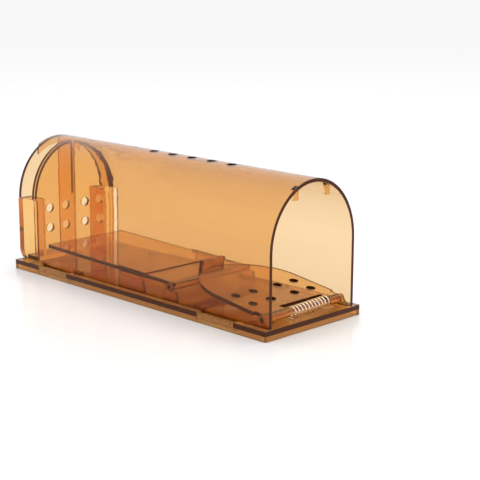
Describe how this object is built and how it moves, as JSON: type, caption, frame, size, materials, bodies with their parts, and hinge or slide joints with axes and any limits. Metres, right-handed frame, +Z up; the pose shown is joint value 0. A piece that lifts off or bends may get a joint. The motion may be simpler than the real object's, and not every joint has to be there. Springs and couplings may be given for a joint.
{
  "type": "live catch trap",
  "caption": "Arched see-through live catch tunnel trap with a sprung trapdoor, a see-saw trip pedal with a hook, and a pull-off bait cap.",
  "frame": {"origin": "middle of the tray's underside, where the trap stands; the cap's fin and lip stand 1.2 mm past the tray's rear end", "axes": "+X out of the entrance, +Z up, +Y to the left when looking out of the entrance"},
  "size_m": [0.1762, 0.06, 0.0649],
  "materials": {
    "tray_plastic": "gloss, see-through amber",
    "shell_plastic": "gloss, see-through amber",
    "cap_plastic": "gloss, see-through amber",
    "door_plastic": "gloss, see-through amber",
    "pedal_plastic": "gloss, see-through amber",
    "spring_wire": "bright drawn wire",
    "pin_plastic": "gloss, see-through amber, dark end-on"
  },
  "bodies": {
    "housing": {"base_tray": "tray_plastic", "tunnel_shell": "shell_plastic", "door_pin": "pin_plastic", "door_spring": "spring_wire", "pedal_pin": "pin_plastic"},
    "door": {"trap_door": "door_plastic"},
    "pedal": {"trip_pedal": "pedal_plastic"},
    "bait_cap": {"rear_cap": "cap_plastic"}
  },
  "joints": [
    {"name": "door_swing", "type": "hinge", "parent": "housing", "child": "door", "pos_m": [0.081, 0, 0.0074], "axis": [0, 1, 0], "range_deg": [0, 82], "deforming": ["door_spring"]},
    {"name": "pedal_tilt", "type": "hinge", "parent": "housing", "child": "pedal", "pos_m": [0.0233, 0, 0.0105], "axis": [0, -1, 0], "range_deg": [0, 5]},
    {"name": "cap_pull", "type": "slide", "parent": "housing", "child": "bait_cap", "axis": [-1, 0, 0], "range_m": [0, 0.03]}
  ]
}
